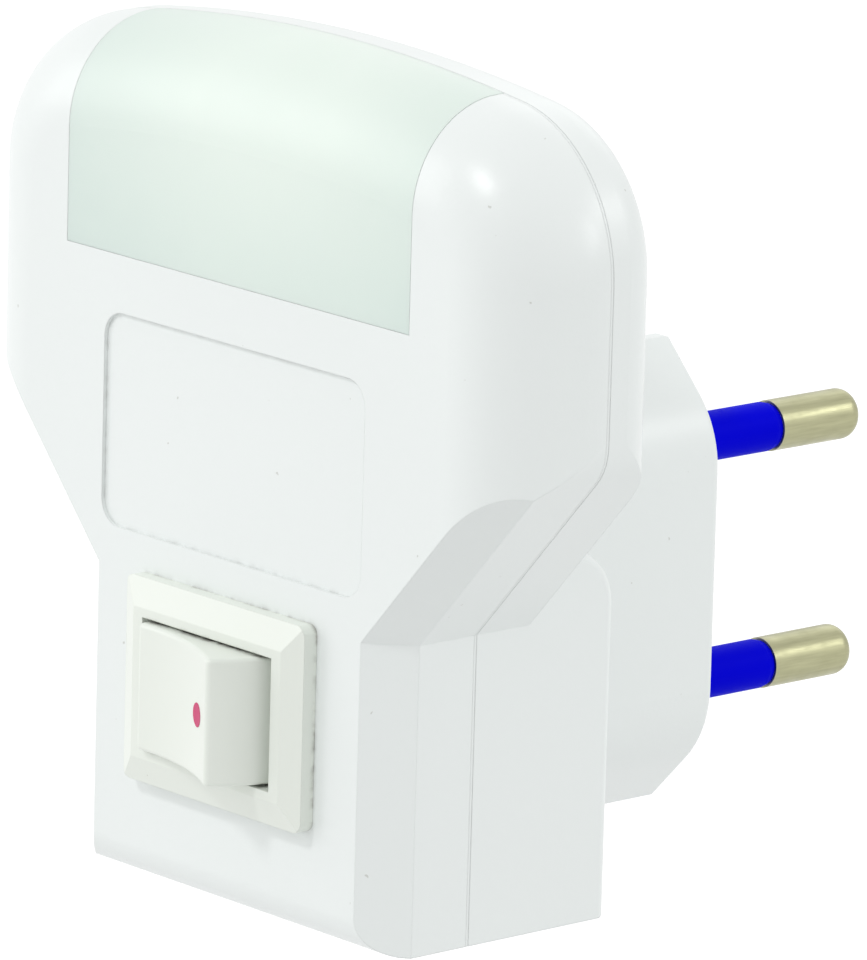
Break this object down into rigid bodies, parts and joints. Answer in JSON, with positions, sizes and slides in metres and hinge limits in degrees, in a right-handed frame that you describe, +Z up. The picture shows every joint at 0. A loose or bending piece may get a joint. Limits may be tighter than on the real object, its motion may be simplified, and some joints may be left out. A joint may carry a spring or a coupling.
{
  "type": "plug-in night light",
  "caption": "Plug-in LED night light with a round-pin mains plug, a frosted lens wrapped over its head and a rocker switch on the stem.",
  "frame": {"origin": "centre of the plug's engagement face, midway between the two pins", "axes": "+Y out of the engagement face into the socket, +X to the right seen from the front, +Z up"},
  "size_m": [0.064, 0.0683, 0.0658],
  "materials": {
    "cover_plastic": "satin moulded polycarbonate, cool white",
    "lens_plastic": "frosted translucent polycarbonate, faintly green",
    "switch_plastic": "glossy moulded nylon, cream white",
    "pin_metal": "satin nickel plate on turned brass",
    "sleeve_plastic": "deep blue insulating sleeve",
    "inner_plastic": "natural nylon",
    "screw_steel": "zinc plated",
    "spring_steel": "plain spring wire",
    "contact_metal": "bare stamped brass",
    "board_laminate": "phenolic paper laminate",
    "led_resin": "clear resin over yellow phosphor",
    "film_case": "moulded box",
    "can_metal": "aluminium can with dark sleeve",
    "diode_case": "black moulded body",
    "resistor_body": "lacquered body",
    "lead_brown": "brown insulated lead",
    "lead_blue": "blue insulated lead"
  },
  "bodies": {
    "housing": {"front_cover": "cover_plastic", "rear_cover": "cover_plastic", "diffuser_lens": "lens_plastic", "switch_housing": "switch_plastic", "upper_pin": "pin_metal", "lower_pin": "pin_metal", "upper_pin_sleeve": "sleeve_plastic", "lower_pin_sleeve": "sleeve_plastic", "pin_clamp": "inner_plastic", "clamp_screw": "screw_steel", "cover_screws": "screw_steel", "circuit_board": "board_laminate", "leds": "led_resin", "film_capacitor": "film_case", "smoothing_capacitor": "can_metal", "rectifier_diodes": "diode_case", "fusible_resistor": "resistor_body", "bleed_resistor": "resistor_body", "common_terminal": "contact_metal", "load_terminal": "contact_metal", "lead_line": "lead_brown", "lead_switched": "lead_brown", "lead_neutral": "lead_blue"},
    "rocker": {"rocker": "switch_plastic", "plunger": "inner_plastic", "plunger_spring": "spring_steel"},
    "contact": {"contact_lever": "contact_metal"}
  },
  "joints": [
    {"name": "rocker_tilt", "type": "hinge", "parent": "housing", "child": "rocker", "pos_m": [0, -0.0423, -0.0043], "axis": [0, 0, 1], "range_deg": [0, 28]},
    {"name": "contact_tilt", "type": "hinge", "parent": "housing", "child": "contact", "pos_m": [0, -0.03355, -0.0043], "axis": [0, 0, 1], "range_deg": [-14, 0]}
  ],
  "couplings": [
    {"joint": "contact_tilt", "follows": "rocker_tilt", "ratio": -0.5}
  ]
}
